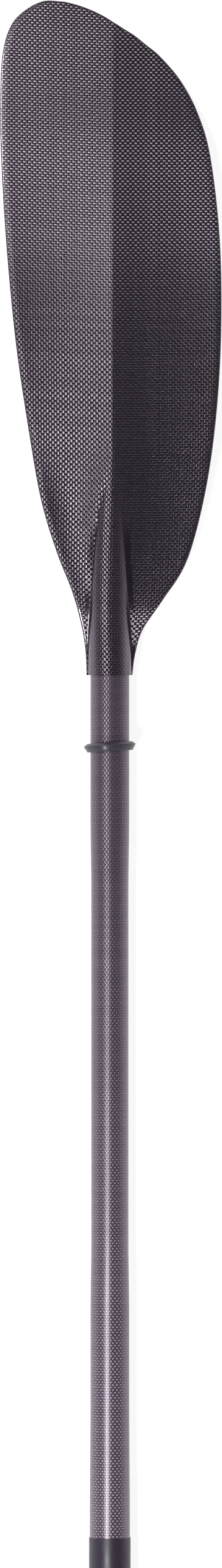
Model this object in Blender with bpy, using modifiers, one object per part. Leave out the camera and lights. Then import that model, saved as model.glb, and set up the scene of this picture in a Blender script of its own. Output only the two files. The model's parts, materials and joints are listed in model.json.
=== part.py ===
"""Two-piece touring kayak paddle: carbon blades, carbon shaft and a snap-button ferrule.

Metres. X runs across the blades, Y along the shaft and Z up, out of the blades' ridged fronts.
The paddle lies with the fronts up and the curved tips down on the ground, its middle over
the origin. The left half is the one along +Y and holds the female end of the ferrule; the
right half holds the spigot.
"""
import math

import bmesh
import bpy
from mathutils import Matrix

# ---------------------------------------------------------------- driving dimensions
PADDLE_LENGTH = 2.400
CLEARANCE = 0.0003            # between any two bonded or sliding pieces

# Shaft tube: round, with an oval grip and a swell towards the ferrule
SHAFT_RADIUS = 0.0147
SHAFT_BORE_RADIUS = 0.0132
GRIP_HALF_WIDTH = 0.01412     # across the paddle
GRIP_HALF_DEPTH = 0.0154      # front to back
GRIP_INNER_END = 0.263        # where the full oval starts, from the paddle's middle
GRIP_LENGTH = 0.266
GRIP_BLEND = 0.055
SWELL_RADIUS = 0.0152
SWELL_START = 0.050           # full swell up to here, from the paddle's middle
SWELL_BLEND = 0.100
TUBE_SEGMENTS = 32

# Blade
BLADE_LENGTH = 0.510
SOCKET_DEPTH = 0.065          # how far the shaft goes into the blade
SOCKET_CLEARANCE = 0.0004     # glue line around the shaft
SOCKET_RUNOUT = 0.004         # the round socket goes on this far past the shaft's end
LEFT_REACH = 0.0664           # from the socket's side to the blade's widest point
RIGHT_REACH = 0.0676
SKIN = 0.0014
CORE_INSET = 0.014            # from the blade's edge to the foam's edge
RIM_WIDTH = 0.006             # solid edge, before the blade starts to thicken
RIM_RAMP = 0.020

# Drip rings
RING_FROM_SOCKET = 0.054      # from the blade's end, along the shaft
RING_RADIUS = 0.01975
RING_NARROW_RADIUS = 0.0176
RING_HEIGHT = 0.0067
RING_LIP = 0.0020             # from the blade side of the ring down to its widest point
RING_EDGE = 0.0008            # rounding of the lip, along the ring
RING_GRIP = 0.0020            # length of the bore that sits on the shaft
RING_TILT = 3.6               # degrees

# Plugs
PLUG_LENGTH = 0.012
PLUG_RECESS = 0.002
PLUG_CHAMFER = 0.0007

# Ferrule
PARTING = -0.065              # the face where the two halves meet
SLEEVE_LENGTH = 0.120
SLEEVE_WALL = 0.0013
SPIGOT_WALL = 0.0014
SPIGOT_END_ROOM = 0.005       # between the spigot's end and the sleeve's
ROOT_LENGTH = 0.085
GASKET_THICKNESS = 0.0015
GASKET_RADIUS = 0.0158
COLLAR_LENGTH = 0.030
COLLAR_WALL = 0.0008
LABEL_LENGTH = 0.070
LABEL_FROM_COLLAR = 0.005
BAND_WALL = 0.0003
SCALE_RING_LENGTH = 0.016
SCALE_RING_FROM_PARTING = 0.006
BAND_CLEARANCE = 0.0002

# Snap button
BUTTON_FROM_PARTING = 0.015
BUTTON_RADIUS = 0.0032
BUTTON_PROUD = 0.0010         # above the collar
BUTTON_EDGE = 0.0013          # rounding of its top
BUTTON_HOLE_CLEARANCE = 0.0003
FEATHER_ANGLE = 60            # degrees between the button holes
SPRING_THICKNESS = 0.0006
SPRING_WIDTH = 0.0060
SPRING_LENGTH = 0.040
SPRING_TAIL = 0.003           # strip past the button, at its open end
SPRING_SHOULDER = 0.002       # flat strip on the button's other side
SPRING_BEND = 0.0022          # radius of the strip's bend

# ---------------------------------------------------------------- sizes that follow
TIP = PADDLE_LENGTH / 2
SOCKET_END = TIP - BLADE_LENGTH
RING_FROM_TIP = BLADE_LENGTH + RING_FROM_SOCKET
SOCKET_RADIUS = SHAFT_RADIUS + SOCKET_CLEARANCE + SKIN
EDGE_THICKNESS = 2 * SKIN + CLEARANCE
ROUND_END = SOCKET_DEPTH + SOCKET_RUNOUT
TUBE_OUTER_END = SOCKET_END + SOCKET_DEPTH
SLEEVE_RADIUS = SHAFT_BORE_RADIUS - CLEARANCE
SLEEVE_BORE = SLEEVE_RADIUS - SLEEVE_WALL
SPIGOT_RADIUS = SLEEVE_BORE - CLEARANCE
SPIGOT_REACH = SLEEVE_LENGTH - SPIGOT_END_ROOM
SPIGOT_BORE = SPIGOT_RADIUS - SPIGOT_WALL
BAND_INNER = SWELL_RADIUS + BAND_CLEARANCE
COLLAR_RADIUS = BAND_INNER + COLLAR_WALL
GASKET_TOP = PARTING - CLEARANCE
GASKET_FOOT = GASKET_TOP - GASKET_THICKNESS
RIGHT_TUBE_END = GASKET_FOOT - CLEARANCE
BUTTON_Y = PARTING + BUTTON_FROM_PARTING
BUTTON_TOP = COLLAR_RADIUS + BUTTON_PROUD
HOLE_RADIUS = BUTTON_RADIUS + BUTTON_HOLE_CLEARANCE

# Blade outline, as percentages. Each row is one section across the blade: how far its
# left end reaches and lies along, how far along it crosses the ridge, and how far along
# its right end lies and reaches. Reach is counted from the socket's side.
OUTLINE = [
    (1.8, 0.0, 0.0, 0.0, 0.9),
    (2.9, 3.5, 3.3, 3.1, 4.1),
    (7.8, 7.5, 7.1, 6.7, 12.4),
    (18.4, 12.4, 11.8, 11.0, 34.5),
    (35.8, 18.2, 17.5, 16.7, 61.2),
    (53.5, 25.9, 25.9, 25.9, 80.6),
    (68.2, 36.7, 36.7, 36.7, 93.2),
    (82.4, 49.4, 49.4, 49.4, 99.7),
    (92.9, 63.7, 63.7, 63.7, 98.8),
    (98.8, 76.5, 76.2, 76.5, 88.5),
    (100.0, 84.5, 84.0, 83.3, 74.1),
    (97.7, 91.8, 90.0, 88.2, 54.7),
    (88.7, 96.1, 94.0, 91.8, 31.7),
    (73.0, 98.5, 95.3, 93.4, 17.2),
    (50.6, 100.0, 96.3, 94.8, 3.1),
    (27.6, 99.9, 97.0, 96.0, -10.9),
]

# Blade profile in millimetres. Inside the socket the stations are shares of its depth,
# past it they are shares of the rest of the blade. The crowns are the heights of the
# spine's front and back above the shaft's axis.
SOCKET_MM = SOCKET_RADIUS * 1000
EDGE_LEVEL = EDGE_THICKNESS * 500
SOCKET_STATIONS = [0.0, 0.30, 0.70, 1.0]
BLADE_STATIONS = [0.117, 0.213, 0.303, 0.416, 0.528, 0.640, 0.753, 0.865, 1.0]
WING_LEVEL = [EDGE_LEVEL, 1.8, 8.1, 12.2, 16.4, 17.1, 17.0, 15.7, 11.8, 5.9, -0.9, -9.1, -17.3]
FRONT_CROWN = [SOCKET_MM] * 4 + [16.5, 16.9, 16.9, 15.62, 11.75, 5.87, -0.91, -9.1, -17.3]
FRONT_RADIUS = [SOCKET_MM] * 4 + [14.5, 9.5, 8.8, 8.8, 8.8, 9.0, 10.0, 10.0, 10.0]
BACK_CROWN = [-SOCKET_MM] * 4 + [-5.0, 1.0, 3.5, 4.5, 2.0, -2.6, -8.3, -14.8, -20.6]
BACK_RADIUS = [SOCKET_MM] * 4 + [14.5, 13.5, 14.0, 17.0, 24.0, 24.0, 24.0, 20.0, 12.0]
FILLET = [0.5, 1.2, 2.0, 2.5, 5.0, 5.0, 4.0, 4.0, 4.0, 4.0, 3.0, 2.0, 1.0]
BULGE = [0.0, 0.8, 2.0, 2.5, 3.2, 3.6, 3.6, 3.6, 3.4, 3.2, 2.8, 2.0, 0.6]
LEFT_SLOPE = [0.0, 0.0, 0.04, 0.20, 0.37, 0.22, 0.155, 0.14, 0.10, 0.07, 0.045, 0.02, -0.01]
RIGHT_SLOPE = [0.0, 0.0, 0.04, 0.18, 0.30, 0.24, 0.19, 0.16, 0.14, 0.13, 0.13, 0.15, 0.17]
LEFT_CURVE = [0.0, 0.0, -0.6, -3.0, -4.6, -1.65, -0.9, -1.0, -0.8, -0.55, -0.35, -0.2, 0.0]
RIGHT_CURVE = [0.0, 0.0, -0.5, -2.0, -2.5, -1.9, -1.5, -1.3, -1.1, -0.9, -0.7, -0.6, -0.6]
RIDGE_SHIFT = [0.0, 0.0, 0.0, 0.0, 1.0, 2.0, 2.1, 2.1, 2.1, 2.1, 2.1, 2.1, 2.1]
SHIFT_REACH = 0.030           # from the ridge out to where its sideways shift has died away

# How finely each section of the blade is divided, and where the foam ends
THROAT_ROWS = [4.5]           # sections between two rows, where the spine sinks into the blade
CORE_LAST_ROW = 11
CORE_SKIPPED_STEPS = 2        # section points between the blade's edge and the foam's
WING_BOW = 0.85               # below 1, a section that leans to the tip bows out
WING_STEPS = 2
FILLET_STEPS = 2
ARC_STEPS = 6

# Limits that keep narrow sections in order
LEAST = 0.00002               # metres; no height or fillet gets smaller
FILLET_SHARE = 0.45           # the most of its wing or arc that a fillet takes
RIM_SHARE = 0.75              # the most of a wing that its rim and ramp take
ARC_HEIGHT_SHARE = 0.95       # the most of its circle that a spine's arc stands up
ARC_WIDTH_SHARE = 0.98        # the most of a wing that the arc covers
CORNER_SHARE = 0.8            # a fillet's corner stays this far out on the arc

# ---------------------------------------------------------------- scene and materials
for old in list(bpy.data.objects):
    bpy.data.objects.remove(old, do_unlink=True)

paddle = bpy.data.collections.new("kayak_paddle")
cutters = bpy.data.collections.new("cutters")
for collection in (paddle, cutters):
    bpy.context.scene.collection.children.link(collection)


def surface(name, colour, roughness, metallic=0.0):
    """A plain Principled material."""
    material = bpy.data.materials.new(name)
    material.use_nodes = True
    shader = material.node_tree.nodes["Principled BSDF"]
    shader.inputs["Base Color"].default_value = (*colour, 1.0)
    shader.inputs["Roughness"].default_value = roughness
    shader.inputs["Metallic"].default_value = metallic
    return material


def place(name, mesh_data, material, collection=paddle):
    """Turn a bmesh into an object with smooth round sides and sharp corners."""
    mesh = bpy.data.meshes.new(name)
    mesh_data.to_mesh(mesh)
    mesh_data.free()
    mesh.shade_smooth()
    mesh.set_sharp_from_angle(angle=math.radians(35))
    piece = bpy.data.objects.new(name, mesh)
    if material:
        mesh.materials.append(material)
    collection.objects.link(piece)
    return piece


# ---------------------------------------------------------------- curves
def through(positions, values, at):
    """Smooth curve through the values; its slope at each one is the mean of both sides."""
    last = len(positions) - 1
    at = min(max(at, positions[0]), positions[-1])
    i = 0
    while i < last - 1 and at > positions[i + 1]:
        i += 1

    def slope(k):
        low, high = max(k - 1, 0), min(k + 1, last)
        return (values[high] - values[low]) / (positions[high] - positions[low])

    span = positions[i + 1] - positions[i]
    t = (at - positions[i]) / span
    return ((2 * t**3 - 3 * t**2 + 1) * values[i] + (t**3 - 2 * t**2 + t) * span * slope(i)
            + (3 * t**2 - 2 * t**3) * values[i + 1] + (t**3 - t**2) * span * slope(i + 1))


def smoothstep(t):
    t = min(max(t, 0.0), 1.0)
    return t * t * (3 - 2 * t)


STATIONS = [share * ROUND_END for share in SOCKET_STATIONS]
STATIONS += [ROUND_END + share * (BLADE_LENGTH - ROUND_END) for share in BLADE_STATIONS]


def profile(table, along):
    """A value from one of the blade's profile tables, in metres."""
    return through(STATIONS, table, along) / 1000


# ---------------------------------------------------------------- blade surfaces
def wing_height(x, along):
    """Front surface of the wings, above the shaft's axis."""
    slopes, curves = (LEFT_SLOPE, LEFT_CURVE) if x < 0 else (RIGHT_SLOPE, RIGHT_CURVE)
    fall = through(STATIONS, slopes, along) * abs(x) + through(STATIONS, curves, along) * x * x
    return profile(WING_LEVEL, along) - fall


def back_wing_height(x, along, edge_x):
    """Back surface of the wings: a solid rim, thicker inboard where the foam is."""
    inboard = (abs(edge_x) - abs(x) - RIM_WIDTH) / RIM_RAMP
    thickness = EDGE_THICKNESS + profile(BULGE, along) * smoothstep(inboard)
    return wing_height(x, along) - thickness


def half_section(side, edge_x, edge_along, mid_along, front):
    """One side of a section, from the wing's edge to the top of the spine.

    The wing runs in to a fillet, and the fillet into the spine's round arc.
    """
    facing = 1 if front else -1
    crown = profile(FRONT_CROWN if front else BACK_CROWN, mid_along)
    radius = profile(FRONT_RADIUS if front else BACK_RADIUS, mid_along)
    reach = abs(edge_x)
    bow = WING_BOW if edge_along > mid_along else 1.0

    def along_at(x):
        return mid_along + (edge_along - mid_along) * (x / reach) ** bow

    def lift(x):
        """How much higher the blade is where a leaning section has gone along it."""
        return profile(WING_LEVEL, along_at(x)) - profile(WING_LEVEL, mid_along)

    def wing(x):
        if front:
            return wing_height(side * x, along_at(x)) - lift(x)
        return back_wing_height(side * x, along_at(x), edge_x) - lift(x)

    # where the arc meets the wing
    half_width = min(radius, reach)
    for _ in range(12):
        height = min(max(facing * (crown - wing(half_width)), LEAST), 2 * radius * ARC_HEIGHT_SHARE)
        half_width = min(math.sqrt(height * (2 * radius - height)), reach * ARC_WIDTH_SHARE)
    sweep = 2 * math.atan2(height, half_width)

    fillet = max(min(profile(FILLET, mid_along), FILLET_SHARE * (reach - half_width)), LEAST)
    foot = half_width + fillet
    arc_end = sweep - min(fillet / radius, FILLET_SHARE * sweep)

    def on_arc(angle):
        return radius * math.sin(angle), crown - facing * radius * (1 - math.cos(angle))

    # the rim and the foam's edge keep their widths wherever the wing is wide enough
    rim = [0.0, RIM_WIDTH, CORE_INSET, RIM_WIDTH + RIM_RAMP]
    squeeze = min(1.0, RIM_SHARE * (reach - foot) / rim[-1])
    steps = [reach - squeeze * step for step in rim]
    steps += [steps[-1] + (foot - steps[-1]) * k / WING_STEPS for k in range(1, WING_STEPS)]
    flat = [(x, wing(x)) for x in steps]
    # the fillet leaves the arc along its tangent, so that it stays outside the socket's round
    end = on_arc(arc_end)
    drop = facing * (end[1] - wing(half_width)) / math.sin(arc_end)
    corner_x = min(max(end[0] + drop * math.cos(arc_end), CORNER_SHARE * half_width), foot)
    start, corner = (foot, wing(foot)), (corner_x, wing(corner_x))
    for k in range(FILLET_STEPS):
        t = k / FILLET_STEPS
        flat.append(tuple((1 - t)**2 * start[axis] + 2 * t * (1 - t) * corner[axis] + t * t * end[axis]
                          for axis in (0, 1)))
    flat += [on_arc(arc_end * (1 - k / ARC_STEPS)) for k in range(ARC_STEPS + 1)]
    shift = profile(RIDGE_SHIFT, mid_along)
    return [(side * x + shift * (1 - smoothstep(x / SHIFT_REACH)), along_at(x), z + lift(x))
            for x, z in flat]


def outline_at(row):
    """Edges and ridge position of the section at a row of the outline, between rows too."""
    rows = list(range(len(OUTLINE)))
    left_reach, left_along, mid, right_along, right_reach = (
        through(rows, [entry[k] for entry in OUTLINE], row) / 100 for k in range(5))
    return (-(SOCKET_RADIUS + left_reach * LEFT_REACH), left_along * BLADE_LENGTH,
            mid * BLADE_LENGTH,
            right_along * BLADE_LENGTH, SOCKET_RADIUS + right_reach * RIGHT_REACH)


def section(row, front):
    """A whole section, from the left edge over the spine to the right edge."""
    left_x, left_along, mid, right_along, right_x = outline_at(row)
    left = half_section(-1, left_x, left_along, mid, front)
    right = half_section(1, right_x, right_along, mid, front)
    return left + right[-2::-1]


def inset_section(points, facing, distance):
    """The same section moved into the blade, square to its own surface."""
    moved = []
    for i, (x, along, z) in enumerate(points):
        before, after = points[max(i - 1, 0)], points[min(i + 1, len(points) - 1)]
        run, climb = after[0] - before[0], after[2] - before[2]
        size = math.hypot(run, climb)
        moved.append((x + facing * climb / size * distance, along, z - facing * run / size * distance))
    return moved


def row_at(along):
    """The row of the outline that crosses the ridge at a distance along the blade."""
    low, high = 0.0, len(OUTLINE) - 1.0
    for _ in range(40):
        middle = (low + high) / 2
        if outline_at(middle)[2] < along:
            low = middle
        else:
            high = middle
    return low


# One section lies where the round socket ends, in place of any row close to it.
SOCKET_ROW = row_at(ROUND_END)
SKIN_ROWS = sorted([row for row in range(len(OUTLINE)) if abs(row - SOCKET_ROW) > 0.25]
                   + [SOCKET_ROW] + THROAT_ROWS)
CORE_ROWS = [row for row in SKIN_ROWS if SOCKET_ROW <= row <= CORE_LAST_ROW]

# The lowest of the blades' edges and the rings' rims decides how high the axis lies.
AXIS_HEIGHT = max(-min(point[2] for row in SKIN_ROWS for point in section(row, False)),
                  RING_RADIUS + CLEARANCE)


def in_space(points, end):
    """Blade points to world points; end is 1 for the left half and -1 for the right."""
    return [(x, end * (SOCKET_END + along), z + AXIS_HEIGHT) for x, along, z in points]


# ---------------------------------------------------------------- builders
def grid(mesh_data, rows):
    """A sheet over rows of points; returns the rows of vertices.

    Its twisted quads are split along one diagonal, so that sheets lie evenly on each other.
    """
    verts = [[mesh_data.verts.new(point) for point in row] for row in rows]
    sheet = []
    for near, far in zip(verts, verts[1:]):
        for i in range(len(near) - 1):
            sheet.append(mesh_data.faces.new((near[i], near[i + 1], far[i + 1], far[i])))
    bmesh.ops.triangulate(mesh_data, faces=sheet, quad_method="FIXED")
    return verts


def point_faces(mesh_data, upwards):
    """Turn an open sheet's faces so that they look up, or down."""
    mesh_data.normal_update()
    if (sum(face.normal.z * face.calc_area() for face in mesh_data.faces) > 0) != upwards:
        bmesh.ops.reverse_faces(mesh_data, faces=mesh_data.faces)


def close_outwards(mesh_data):
    """Turn a closed shape's faces so that all look out of it."""
    bmesh.ops.recalc_face_normals(mesh_data, faces=mesh_data.faces)
    if mesh_data.calc_volume(signed=True) < 0:
        bmesh.ops.reverse_faces(mesh_data, faces=mesh_data.faces)


def blade_skin(name, end, front, material):
    """A skin: its outer surface as an open sheet, made solid inwards."""
    mesh_data = bmesh.new()
    grid(mesh_data, [in_space(section(row, front), end) for row in SKIN_ROWS])
    point_faces(mesh_data, front)
    piece = place(name, mesh_data, material)
    wall = piece.modifiers.new("wall", "SOLIDIFY")
    wall.thickness = SKIN
    wall.offset = -1
    wall.use_even_offset = True
    wall.use_quality_normals = True
    return piece


def blade_core(name, end, material):
    """Foam between the skins, a clearance inside both of them."""
    depth = SKIN + CLEARANCE
    sheets = []
    for front in (True, False):
        facing = 1 if front else -1
        rows = [inset_section(section(row, front), facing, depth) for row in CORE_ROWS]
        sheets.append([in_space(row[CORE_SKIPPED_STEPS:-CORE_SKIPPED_STEPS], end) for row in rows])
    mesh_data = bmesh.new()
    top = grid(mesh_data, sheets[0])
    bottom = grid(mesh_data, sheets[1])
    for a, b in ((top[0], bottom[0]), (top[-1], bottom[-1])):
        for i in range(len(a) - 1):
            mesh_data.faces.new((a[i], b[i], b[i + 1], a[i + 1]))
    for side in (0, -1):
        for k in range(len(top) - 1):
            mesh_data.faces.new((top[k][side], top[k + 1][side], bottom[k + 1][side], bottom[k][side]))
    close_outwards(mesh_data)
    return place(name, mesh_data, material)


def shaft_radii(y):
    """Half width and half depth of the shaft at a distance from the paddle's middle."""
    y = abs(y)
    rise = smoothstep((y - GRIP_INNER_END + GRIP_BLEND) / GRIP_BLEND)
    grip = rise * (1 - smoothstep((y - GRIP_INNER_END - GRIP_LENGTH) / GRIP_BLEND))
    swell = 1 - smoothstep((y - SWELL_START) / SWELL_BLEND)
    base = SHAFT_RADIUS + (SWELL_RADIUS - SHAFT_RADIUS) * swell
    return base + (GRIP_HALF_WIDTH - SHAFT_RADIUS) * grip, base + (GRIP_HALF_DEPTH - SHAFT_RADIUS) * grip


def ring_of_points(y, half_width, half_depth, segments=TUBE_SEGMENTS):
    return [(half_width * math.cos(2 * math.pi * k / segments), y,
             AXIS_HEIGHT + half_depth * math.sin(2 * math.pi * k / segments)) for k in range(segments)]


def shaft_tube(name, end, inner_end, material):
    """Outside lofted along the shaft's stations, with a plain round bore."""
    grip_end = GRIP_INNER_END + GRIP_LENGTH
    start = inner_end * end
    stations = [SWELL_START + SWELL_BLEND * share for share in (0.0, 0.33, 0.67, 1.0)]
    for low in (GRIP_INNER_END - GRIP_BLEND, grip_end):
        stations += [low + GRIP_BLEND * share for share in (0.0, 0.33, 0.67, 1.0)]
    stations = [start] + sorted(y for y in stations if start < y < TUBE_OUTER_END) + [TUBE_OUTER_END]
    rows = [ring_of_points(end * y, *shaft_radii(y)) for y in stations]
    rows.append(ring_of_points(end * stations[-1], SHAFT_BORE_RADIUS, SHAFT_BORE_RADIUS))
    rows.append(ring_of_points(end * stations[0], SHAFT_BORE_RADIUS, SHAFT_BORE_RADIUS))
    mesh_data = bmesh.new()
    verts = [[mesh_data.verts.new(point) for point in row] for row in rows]
    for near, far in zip(verts, verts[1:] + verts[:1]):
        for i in range(TUBE_SEGMENTS):
            j = (i + 1) % TUBE_SEGMENTS
            mesh_data.faces.new((near[i], near[j], far[j], far[i]))
    close_outwards(mesh_data)
    return place(name, mesh_data, material)


def turned(name, outline, material, segments=TUBE_SEGMENTS):
    """A piece turned about the shaft's axis from a closed outline of (radius, y) points.

    The outline runs down its outer side, from high y to low y, and back up inside.
    """
    mesh_data = bmesh.new()
    verts = [mesh_data.verts.new((radius, y, 0.0)) for radius, y in outline]
    for i, vert in enumerate(verts):
        mesh_data.edges.new((vert, verts[(i + 1) % len(verts)]))
    piece = place(name, mesh_data, material)
    piece.location.z = AXIS_HEIGHT
    screw = piece.modifiers.new("turned", "SCREW")
    screw.axis = "Y"
    screw.angle = 2 * math.pi
    screw.steps = segments
    screw.render_steps = segments
    screw.use_merge_vertices = True
    screw.merge_threshold = 0.00001
    return piece


def sleeve(outer, inner, high, low):
    """Outline of a plain tube."""
    return [(outer, high), (outer, low), (inner, low), (inner, high)]


def plug(name, radius, high, low, material):
    """A solid disc across the shaft."""
    mesh_data = bmesh.new()
    bmesh.ops.create_cone(mesh_data, cap_ends=True, segments=TUBE_SEGMENTS, radius1=radius,
                          radius2=radius, depth=high - low)
    turn = Matrix.Rotation(math.pi / 2, 4, "X")
    bmesh.ops.transform(mesh_data, matrix=turn, verts=mesh_data.verts)
    piece = place(name, mesh_data, material)
    piece.location = (0.0, (high + low) / 2, AXIS_HEIGHT)
    chamfer = piece.modifiers.new("chamfer", "BEVEL")
    chamfer.width = PLUG_CHAMFER
    chamfer.segments = 1
    chamfer.limit_method = "ANGLE"
    return piece


def drip_ring(name, end, material):
    """Rubber cup ring: wide lip near its blade side, tapering to the shaft's middle."""
    inner = SHAFT_RADIUS + CLEARANCE
    top, lip, foot = RING_HEIGHT / 2, RING_HEIGHT / 2 - RING_LIP, -RING_HEIGHT / 2
    slack = inner * math.sin(math.radians(RING_TILT)) ** 2 + RING_HEIGHT / 2 * math.tan(math.radians(RING_TILT))
    bore = inner + slack
    outline = [(RING_NARROW_RADIUS, top), (RING_RADIUS - RING_EDGE / 2, lip + RING_EDGE),
               (RING_RADIUS, lip), (RING_RADIUS - RING_EDGE / 2, lip - RING_EDGE), (RING_NARROW_RADIUS, foot),
               (bore, foot), (inner, -RING_GRIP / 2), (inner, RING_GRIP / 2), (bore, top)]
    if end < 0:
        outline = [(radius, -y) for radius, y in reversed(outline)]
    piece = turned(name, outline, material)
    piece.location.y = end * (TIP - RING_FROM_TIP)
    piece.rotation_euler.z = end * math.radians(RING_TILT)
    return piece


def cut(piece, cutter):
    boolean = piece.modifiers.new("cut_" + cutter.name, "BOOLEAN")
    boolean.operation = "DIFFERENCE"
    boolean.solver = "EXACT"
    boolean.object = cutter


def button_cutter(name, angle):
    """A rod square to the shaft, where the snap button comes through.

    It starts inside the spigot's bore and ends outside the collar.
    """
    low, high = SPIGOT_BORE * 0.6, COLLAR_RADIUS * 1.3
    mesh_data = bmesh.new()
    bmesh.ops.create_cone(mesh_data, cap_ends=True, segments=20, radius1=HOLE_RADIUS,
                          radius2=HOLE_RADIUS, depth=high - low)
    bmesh.ops.translate(mesh_data, vec=(0.0, 0.0, (high + low) / 2), verts=mesh_data.verts)
    cutter = place(name, mesh_data, None, cutters)
    cutter.location = (0.0, BUTTON_Y, AXIS_HEIGHT)
    cutter.rotation_euler.y = math.radians(angle)
    cutter.hide_render = True
    cutter.display_type = "WIRE"
    return cutter


def snap_button(name, material):
    """Stamped V spring with its button: one leaf under the button, one on the far wall."""
    rest = SPIGOT_BORE - CLEARANCE - SPRING_THICKNESS / 2
    flat = math.sqrt(rest**2 - (SPRING_WIDTH / 2)**2) - SPRING_THICKNESS / 2
    tail = BUTTON_Y - BUTTON_RADIUS - SPRING_TAIL
    bend = tail + SPRING_LENGTH - SPRING_BEND
    turns = [math.radians(degrees) for degrees in (75, 35, 0, -35, -75)]
    path = [(tail, flat), (BUTTON_Y + BUTTON_RADIUS + SPRING_SHOULDER, flat)]
    path += [(bend + SPRING_BEND * math.cos(turn), SPRING_BEND * math.sin(turn)) for turn in turns]
    path.append((tail, -flat))
    mesh_data = bmesh.new()
    line = [mesh_data.verts.new((-SPRING_WIDTH / 2, y, z)) for y, z in path]
    edges = [mesh_data.edges.new(pair) for pair in zip(line, line[1:])]
    swept = bmesh.ops.extrude_edge_only(mesh_data, edges=edges)["geom"]
    moved = [item for item in swept if isinstance(item, bmesh.types.BMVert)]
    bmesh.ops.translate(mesh_data, vec=(SPRING_WIDTH, 0.0, 0.0), verts=moved)
    bmesh.ops.recalc_face_normals(mesh_data, faces=mesh_data.faces)
    piece = place(name, mesh_data, material)
    piece.location.z = AXIS_HEIGHT
    wall = piece.modifiers.new("strip", "SOLIDIFY")
    wall.thickness = SPRING_THICKNESS
    wall.offset = 0
    wall.use_even_offset = True

    head = bmesh.new()
    bmesh.ops.create_cone(head, cap_ends=True, segments=24, radius1=BUTTON_RADIUS,
                          radius2=BUTTON_RADIUS, depth=BUTTON_TOP - flat)
    bmesh.ops.translate(head, vec=(0.0, 0.0, (BUTTON_TOP + flat) / 2), verts=head.verts)
    rim = [edge for edge in head.edges if all(vert.co.z > BUTTON_TOP - 0.0001 for vert in edge.verts)]
    bmesh.ops.bevel(head, geom=rim, offset=BUTTON_EDGE, segments=2, profile=0.5,
                    affect="EDGES", material=-1)
    pin = place(name + "_pin", head, None, cutters)
    pin.location = (0.0, BUTTON_Y, AXIS_HEIGHT)
    pin.hide_render = True
    pin.display_type = "WIRE"
    weld = piece.modifiers.new("button", "BOOLEAN")
    weld.operation = "UNION"
    weld.solver = "EXACT"
    weld.object = pin
    return piece


# ---------------------------------------------------------------- the paddle
for side_name, end in (("left", 1), ("right", -1)):
    skin = surface(side_name + "_blade_carbon", (0.045, 0.038, 0.044), 0.22)
    blade_skin(side_name + "_blade_front_skin", end, True, skin)
    blade_skin(side_name + "_blade_back_skin", end, False, skin.copy())
    blade_core(side_name + "_blade_core", end, surface(side_name + "_core_foam", (0.75, 0.72, 0.62), 0.9))
    drip_ring(side_name + "_drip_ring", end, surface(side_name + "_drip_rubber", (0.03, 0.03, 0.032), 0.5))
    plug_high = TUBE_OUTER_END - PLUG_RECESS
    plug_ends = sorted((end * plug_high, end * (plug_high - PLUG_LENGTH)))
    plug(side_name + "_shaft_end_plug", SHAFT_BORE_RADIUS - CLEARANCE, plug_ends[1], plug_ends[0],
         surface(side_name + "_plug_foam", (0.02, 0.02, 0.02), 0.8))

left_tube = shaft_tube("left_shaft_tube", 1, PARTING, surface("left_shaft_carbon", (0.05, 0.042, 0.048), 0.22))
shaft_tube("right_shaft_tube", -1, RIGHT_TUBE_END, surface("right_shaft_carbon", (0.05, 0.042, 0.048), 0.22))

sleeve_top = PARTING + SLEEVE_LENGTH
female = turned("female_ferrule_sleeve", sleeve(SLEEVE_RADIUS, SLEEVE_BORE, sleeve_top, PARTING),
                surface("sleeve_glass_fibre", (0.02, 0.02, 0.02), 0.4))
plug("sleeve_plug", SLEEVE_RADIUS, sleeve_top + CLEARANCE + PLUG_LENGTH, sleeve_top + CLEARANCE,
     surface("sleeve_plug_rubber", (0.02, 0.02, 0.02), 0.8))

collar_top = PARTING + COLLAR_LENGTH
collar = turned("ferrule_collar", sleeve(COLLAR_RADIUS, BAND_INNER, collar_top, PARTING),
                surface("collar_plastic", (0.02, 0.02, 0.021), 0.35))
label_foot = collar_top + LABEL_FROM_COLLAR
turned("shaft_label", sleeve(BAND_INNER + BAND_WALL, BAND_INNER, label_foot + LABEL_LENGTH, label_foot),
       surface("label_film", (0.035, 0.035, 0.037), 0.3))

turned("ferrule_gasket", sleeve(GASKET_RADIUS, SPIGOT_RADIUS + CLEARANCE, GASKET_TOP, GASKET_FOOT),
       surface("gasket_rubber", (0.015, 0.015, 0.015), 0.7))
root_foot = RIGHT_TUBE_END - ROOT_LENGTH
spigot_top = PARTING + SPIGOT_REACH
chamfer = SPIGOT_WALL / 2
spigot = turned("male_ferrule_spigot",
                [(SPIGOT_RADIUS - chamfer, spigot_top), (SPIGOT_RADIUS, spigot_top - chamfer),
                 (SPIGOT_RADIUS, RIGHT_TUBE_END), (SLEEVE_RADIUS, RIGHT_TUBE_END),
                 (SLEEVE_RADIUS, root_foot), (SPIGOT_BORE, root_foot), (SPIGOT_BORE, spigot_top)],
                surface("spigot_glass_fibre", (0.03, 0.03, 0.032), 0.3))
plug("spigot_plug", SPIGOT_BORE - CLEARANCE, spigot_top - PLUG_RECESS, spigot_top - PLUG_RECESS - PLUG_LENGTH,
     surface("spigot_plug_rubber", (0.02, 0.02, 0.02), 0.8))
scale_top = RIGHT_TUBE_END - SCALE_RING_FROM_PARTING
turned("feather_scale_ring", sleeve(BAND_INNER + BAND_WALL, BAND_INNER, scale_top, scale_top - SCALE_RING_LENGTH),
       surface("scale_ring_film", (0.6, 0.6, 0.6), 0.4))
snap_button("snap_button", surface("button_steel", (0.6, 0.6, 0.6), 0.3, 1.0))

for hole_name, hole_angle in (("left_feather", -FEATHER_ANGLE), ("in_line", 0), ("right_feather", FEATHER_ANGLE)):
    rod = button_cutter(hole_name + "_hole", hole_angle)
    for holed in (left_tube, female, collar):
        cut(holed, rod)
    if hole_angle == 0:
        cut(spigot, rod)
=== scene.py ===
"""Looks of a two-piece touring kayak paddle: carbon blades and shaft, drip rings, ferrule.

Metres. X runs across the blades, Y along the shaft and Z up, out of the blades' ridged fronts.
The left half is the one along +Y. Each section below is one piece, or a pair of like pieces.
"""
import json
import math

import bmesh
import bpy
from mathutils import Matrix, Vector

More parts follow.
